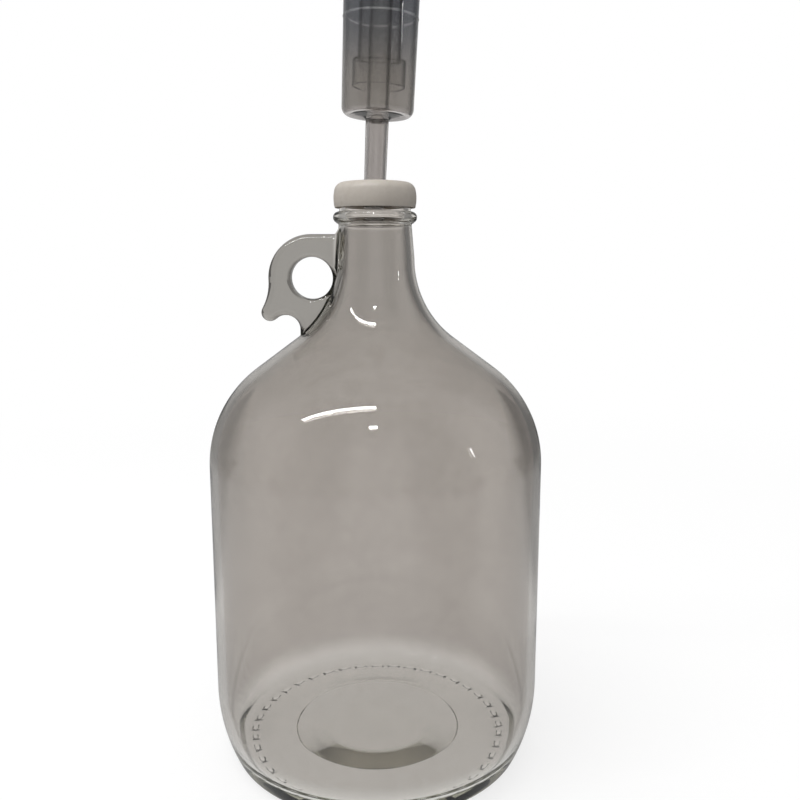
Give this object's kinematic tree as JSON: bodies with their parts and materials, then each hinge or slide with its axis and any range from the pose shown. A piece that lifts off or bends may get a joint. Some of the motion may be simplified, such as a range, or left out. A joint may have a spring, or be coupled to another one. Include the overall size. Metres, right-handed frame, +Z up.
{
  "type": "carboy",
  "caption": "Round clear-glass carboy with a long neck and a ring handle, closed by a white screw cap with a clear water airlock standing in it.",
  "frame": {"origin": "on the floor under the middle of the jug", "axes": "+Z up along the jug's axis, ring handle towards -X, the airlock leans a little towards +X"},
  "size_m": [0.166, 0.166, 0.3954],
  "materials": {
    "jug_glass": "clear blown glass",
    "cap_plastic": "white moulded plastic, satin",
    "liner_foam": "soft foam",
    "grommet_rubber": "pale rubber",
    "airlock_plastic": "clear moulded plastic"
  },
  "bodies": {
    "jug": {"glass_jug": "jug_glass"},
    "liner": {"cap_liner": "liner_foam"},
    "cap": {"screw_cap": "cap_plastic"},
    "grommet": {"stem_grommet": "grommet_rubber"},
    "airlock": {"airlock_body": "airlock_plastic"},
    "bubbler": {"airlock_bubbler": "airlock_plastic"},
    "lid": {"airlock_lid": "airlock_plastic"}
  },
  "joints": [
    {"name": "cap_rise", "type": "slide", "parent": "jug", "child": "liner", "axis": [0, 0, 1], "range_m": [0, 0.0053]},
    {"name": "cap_turn", "type": "hinge", "parent": "liner", "child": "cap", "pos_m": [0, 0, 0.2887], "axis": [0, 0, 1], "range_deg": [0, 450]},
    {"name": "airlock_turn", "type": "hinge", "parent": "cap", "child": "grommet", "pos_m": [0, 0, 0.2887], "axis": [0, 0, 1], "continuous": true},
    {"name": "airlock_pull", "type": "slide", "parent": "grommet", "child": "airlock", "axis": [0.0419, 0, 0.9991], "range_m": [0, 0.06]},
    {"name": "bubbler_float", "type": "slide", "parent": "airlock", "child": "bubbler", "axis": [0.0419, 0, 0.9991], "range_m": [0, 0.01]},
    {"name": "lid_lift", "type": "slide", "parent": "airlock", "child": "lid", "axis": [0.0419, 0, 0.9991], "range_m": [0, 0.03]}
  ],
  "couplings": [
    {"joint": "cap_rise", "follows": "cap_turn", "m_per_rad": 0.0006737}
  ]
}
